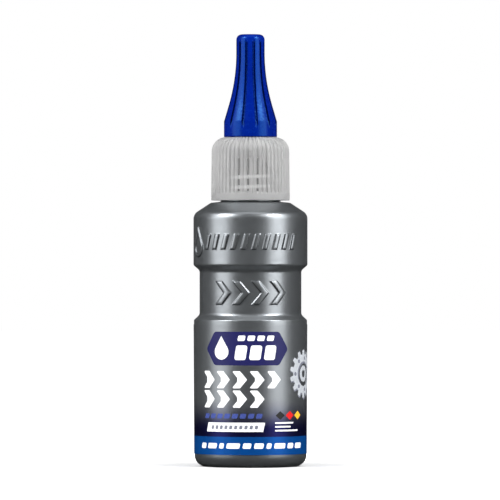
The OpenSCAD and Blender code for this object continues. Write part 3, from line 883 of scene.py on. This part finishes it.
def printed_film():
    material, tree, shader = new_material("label_silver")
    place = node(tree, "ShaderNodeTexCoord")
    split = node(tree, "ShaderNodeSeparateXYZ", {0: place.outputs["Object"]})
    noise = noise_at(tree, place.outputs["Object"], 200.0, 3.0)
    wavy_z = maths(tree, "MULTIPLY_ADD", noise, FADE_WAVE * MM, split.outputs["Z"])
    fade = spread(tree, wavy_z, FADE_LOW * MM, FADE_HIGH * MM)
    ramp = node(tree, "ShaderNodeValToRGB", {"Fac": fade})
    ramp.color_ramp.interpolation = "EASE"
    ramp.color_ramp.elements[0].color = (0.016, 0.016, 0.10, 1.0)
    ramp.color_ramp.elements[1].color = (0.312, 0.332, 0.35, 1.0)
    tree.links.new(ramp.outputs["Color"], shader.inputs["Base Color"])
    shader.inputs["Metallic"].default_value = 0.9
    streaks(tree, shader, place, 0.22, 0.50, STREAK_DEPTH)
    return material


def ink(name, colour, metallic=0.0, roughness=0.4):
    material, tree, shader = new_material(name)
    darker = tuple(0.9 * c for c in colour)
    place, _ = mottle(tree, shader, (darker, colour), 400.0)
    shader.inputs["Metallic"].default_value = metallic
    shader.inputs["Roughness"].default_value = roughness
    shader.inputs["Specular IOR Level"].default_value = 0.25
    grain(tree, shader, place, 4000.0, 0.005, 0.3)
    return material


WHITE_INK = ink("ink_white", (0.86, 0.87, 0.88))
NAVY_INK = ink("ink_navy", (0.010, 0.010, 0.085))
BAND_INK = ink("ink_band_blue", (0.0, 0.075, 0.33), 0.5, 0.36)
FAINT_INK = ink("ink_faint_blue", (0.06, 0.09, 0.33), 0.3)
GREY_INK = ink("ink_grey", (0.20, 0.21, 0.26), 0.2)
PALE_INK = ink("ink_pale_grey", (0.58, 0.61, 0.65), 0.3, 0.35)
BLACK_INK = ink("ink_black", (0.016, 0.016, 0.016))
RED_INK = ink("ink_red", (0.60, 0.008, 0.008))
AMBER_INK = ink("ink_amber", (0.85, 0.42, 0.02))
print(sum(m.name.startswith("ink_") for m in bpy.data.materials), "inks")

# %% [markdown]
# Film and band
# The film runs right round, but for a gap at the back. It is cut into rows, so that it can follow
# the slightly conical side. Each ink sinks a little into the film, so that no gap shows from the
# side. The blue band along the lower edge comes first, and the other prints go over it.


# %% Film and band
ON_FILM, INK_SINK = GLUE + FILM, 0.02
HALF_LABEL = math.pi * LABEL_R - LABEL_GAP / 2


def sheet(low, top, rows):
    """A rectangle right round the bottle, cut into rows."""
    lines = [low + (top - low) * k / rows for k in range(rows + 1)]
    return [[(-HALF_LABEL, a), (HALF_LABEL, a), (HALF_LABEL, b), (-HALF_LABEL, b)]
            for a, b in zip(lines, lines[1:])]


film = bent("label_film", sheet(LABEL_Z, LABEL_TOP, 6), GLUE, ON_FILM, printed_film())
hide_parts("label")
bent("label_band", sheet(LABEL_Z, BAND_PRINT_TOP, 1), ON_FILM - INK_SINK, ON_FILM + 0.02, BAND_INK)

# %% [markdown]
# Printed shapes
# The print is a dark plate with a drop and blocks, two rows of bold chevrons, a row of faint blocks,
# a bar with dots, three small diamonds with short lines, dashes on the band and a cog. Each colour
# is one joined piece with the thickness of an ink. Inks that overlap stand at slightly different
# heights, because two faces at one height would flicker. The cog is a ring with teeth over its own
# shade, and its holes are printed on top as small discs.


# %% Shapes of the print
def cog(u, z, tip, root, hole, teeth):
    """A cog ring as four-cornered fields between its outline and its hole."""
    pitch = 2 * math.pi / teeth
    outer, inner = [], []
    for k in range(teeth):
        for share, r in ((0.0, root), (0.18, root), (0.32, tip), (0.68, tip), (0.82, root)):
            t = (k + share) * pitch
            outer.append((u + r * math.cos(t), z + r * math.sin(t)))
            inner.append((u + hole * math.cos(t), z + hole * math.sin(t)))
    n = len(outer)
    return [[outer[k], outer[(k + 1) % n], inner[(k + 1) % n], inner[k]] for k in range(n)]


def disc(u, z, radius, steps=12):
    spots = [2 * math.pi * k / steps for k in range(steps)]
    return [(u + radius * math.cos(t), z + radius * math.sin(t)) for t in spots]


def on_ring(count, radius, hole):
    """Round holes on a ring around the cog's middle."""
    spots = [2 * math.pi * (k + 0.5) / count for k in range(count)]
    return [disc(COG_U + radius * math.cos(t), COG_Z + radius * math.sin(t), hole) for t in spots]


COG_U, COG_Z = 21.4, 29.5
PLATE = soft_polygon([(-15.6, 37.4), (-12.2, 32.3), (9.4, 32.3),
                      (12.8, 37.4), (9.4, 42.9), (-12.2, 42.9)], 1.4, 6)


def diamond(u):
    """A small diamond with its left corner at u."""
    return soft_polygon([(u, 16.5), (u + 1.7, 15.1), (u + 3.4, 16.5), (u + 1.7, 17.9)], 0.15)


faint_row = [moved(bar(1.9, 1.5, 0.5, 0.3), -16.6 + 2.6 * k, 15.6) for k in range(8)]
dot_row = [moved(bar(1.0, 1.2, 0.3, 0.3), -13.6 + 1.65 * k, 12.2) for k in range(10)]
cog_ring = cog(COG_U, COG_Z, 7.6, 6.2, 3.9, 14) + cog(COG_U, COG_Z, 2.6, 2.6, 1.2, 14)
whites = [drop(-9.6, 34.1, 2.5, 7.4)]
whites += [moved(bar(3.6, 4.6, 0.7, 0.7), -5.2 + 4.7 * k, 34.0) for k in range(3)]
whites += [moved(bar(2.3, 1.7, 0.4, 0.4), -4.2 + 3.1 * k, 40.0) for k in range(4)]
chevron = soft_polygon(arrowhead(5.4, 2.6), 0.25, 3)
whites += [moved(chevron, -14.6 + 5.55 * k, 27.8) for k in range(5)]
whites += [moved(chevron, -14.6 + 5.55 * k, 21.7) for k in range(4)]
whites += [moved(bar(19.6, 2.9, 0.7, 0.15), -15.6, 11.4)]
lines = ((7.2, 13.9), (6.0, 12.7), (9.4, 11.5))
whites += [moved(bar(length, 0.5, 0.1, 0.1), 8.0, z) for length, z in lines]
dashes = (2.2, 3.6, 1.6, 4.4, 2.6, 3.0, 1.6, 4.0, 2.4, 3.2)
u_dash = -18.4
for length in dashes:
    whites.append(moved(bar(length, 1.7, 0.4, 0.4), u_dash, 6.1))
    u_dash += length + 1.0

# Each print is its fields, its ink and how far it stands above the film
PRINTS = {
    "label_plate": ([PLATE], NAVY_INK, 0.02),
    "label_whites": (whites, WHITE_INK, 0.05),
    "label_dots": (dot_row, GREY_INK, 0.07),
    "label_strip": (faint_row, FAINT_INK, 0.02),
    "label_cog_shade": (cog(COG_U + 0.35, COG_Z - 0.35, 7.8, 6.4, 3.6, 14), GREY_INK, 0.015),
    "label_cog": (cog_ring, PALE_INK, 0.03),
    "label_cog_holes": (on_ring(7, 5.05, 0.62), GREY_INK, 0.045),
    "label_mark_dark": ([diamond(8.2)], BLACK_INK, 0.02),
    "label_mark_red": ([diamond(12.0)], RED_INK, 0.02),
    "label_mark_amber": ([diamond(15.8)], AMBER_INK, 0.02),
}
for name, (drawing, material, lift) in PRINTS.items():
    bent(name, drawing, ON_FILM - INK_SINK, ON_FILM + lift, material)

# %% [markdown]
# Studio
# The photo is a white-background portrait. Two tall soft boxes stand left and right in front of
# the bottle, two small ones hang above them for the bright spots on the shoulder, and a faint one
# hangs overhead. The floor and the world look white to the camera by their own colour, so no extra
# light is poured over the bottle to bleach the background. The floor's own glow grows away from
# the bottle, which leaves the shadow at the foot and hides the floor's far edge.


# %% Camera, floor and lamps
# Metres: the camera's place, and the width that the picture shows at the bottle
EYE_X, EYE_Z, DISTANCE, VIEW_W = -0.00015, 0.0686, 1.8, 0.15875
LAMPS_AIM_Z = 0.07
# The floor's colour, and its glow at the foot and far from it
FLOOR_GREY, FLOOR_LIFT, FLOOR_GLOW = 0.8, 0.06, 0.65
GLOW_FROM, GLOW_TO = 0.022, 0.07
# The world's light on dull surfaces, and in reflections of its front and its back
DIFFUSE_LEVEL, FRONT_LEVEL, BACK_LEVEL = 0.5, 0.02, 0.15


def aim(obj, target):
    obj.rotation_euler = (Vector(target) - obj.location).to_track_quat("-Z", "Y").to_euler()


def make_camera():
    data = bpy.data.cameras.new("portrait")
    data.sensor_width = 36.0
    data.lens = data.sensor_width / 2 / (VIEW_W / 2 / DISTANCE)
    cam = bpy.data.objects.new("portrait", data)
    bpy.context.scene.collection.objects.link(cam)
    cam.location = (EYE_X, -DISTANCE, EYE_Z)
    aim(cam, (EYE_X, 0.0, EYE_Z))
    bpy.context.scene.camera = cam
    print("lens", round(data.lens), "mm")


def soft_box(name, azimuth, distance, height, width, tall, power):
    """A rectangular lamp; azimuth 0 is in front of the bottle, positive to its right."""
    data = bpy.data.lights.new(name, "AREA")
    data.shape = "RECTANGLE"
    data.size, data.size_y, data.energy = width, tall, power
    lamp = bpy.data.objects.new(name, data)
    bpy.context.scene.collection.objects.link(lamp)
    a = math.radians(azimuth)
    lamp.location = (distance * math.sin(a), -distance * math.cos(a), height)
    aim(lamp, (0.0, 0.0, LAMPS_AIM_Z))


def make_floor():
    """A white floor whose glow grows away from the bottle and leaves only the contact shadow."""
    bpy.ops.mesh.primitive_plane_add(size=6.0, location=(0, 0, 0))
    floor = bpy.context.object
    floor.name = "floor"
    material, tree, shader = new_material("floor_white")
    shader.inputs["Base Color"].default_value = (FLOOR_GREY, FLOOR_GREY, FLOOR_GREY, 1.0)
    shader.inputs["Roughness"].default_value = 0.9
    shader.inputs["Specular IOR Level"].default_value = 0.0
    place = node(tree, "ShaderNodeTexCoord")
    away = node(tree, "ShaderNodeVectorMath", {0: place.outputs["Object"]}, operation="LENGTH")
    glow = spread(tree, away.outputs["Value"], GLOW_FROM, GLOW_TO, FLOOR_LIFT, FLOOR_GLOW, "SMOOTHSTEP")
    path = node(tree, "ShaderNodeLightPath")
    seen = maths(tree, "MAXIMUM", path.outputs["Is Camera Ray"], path.outputs["Is Transmission Ray"])
    level = maths(tree, "MULTIPLY", seen, glow)
    lift = node(tree, "ShaderNodeEmission", {"Color": (1, 1, 1, 1), "Strength": level})
    both = node(tree, "ShaderNodeAddShader", {0: shader.outputs[0], 1: lift.outputs[0]})
    # To reflections the floor is black: a painted dark reflection that shades the bottle's lower parts
    black = node(tree, "ShaderNodeEmission", {"Strength": 0.0})
    shown = node(tree, "ShaderNodeMixShader", {0: path.outputs["Is Glossy Ray"], 1: both.outputs[0],
                                               2: black.outputs[0]})
    tree.links.new(shown.outputs[0], tree.nodes["Material Output"].inputs["Surface"])
    floor.data.materials.append(material)


def make_world():
    """White for the camera, dim in reflections, and a little brighter there behind the bottle."""
    world = bpy.data.worlds.new("studio")
    bpy.context.scene.world = world
    world.use_nodes = True
    tree = world.node_tree
    shade = tree.nodes["Background"]
    place = node(tree, "ShaderNodeTexCoord")
    split = node(tree, "ShaderNodeSeparateXYZ", {0: place.outputs["Generated"]})
    mirrored = spread(tree, split.outputs["Y"], 0.94, 0.985, FRONT_LEVEL, BACK_LEVEL, "SMOOTHSTEP")
    path = node(tree, "ShaderNodeLightPath")
    level = maths(tree, "MAXIMUM", path.outputs["Is Camera Ray"], mirrored)
    total = maths(tree, "MULTIPLY_ADD", path.outputs["Is Diffuse Ray"], DIFFUSE_LEVEL, level)
    tree.links.new(total, shade.inputs["Strength"])
    shade.inputs["Color"].default_value = (1, 1, 1, 1)


make_camera()
make_floor()
make_world()
# Azimuth in degrees, then distance, height, width and tall in metres, and power in watts
soft_box("left_box", -64, 0.8, 0.22, 0.54, 0.80, 4.0)
soft_box("right_box", 57, 0.8, 0.22, 0.50, 0.80, 4.5)
soft_box("left_high_box", -62, 0.6, 0.62, 0.22, 0.22, 4.2)
soft_box("right_high_box", 58, 0.6, 0.62, 0.22, 0.22, 4.2)
soft_box("top_box", 0, 0.15, 0.80, 0.5, 0.4, 0.6)
bpy.context.scene.view_settings.view_transform = "Standard"
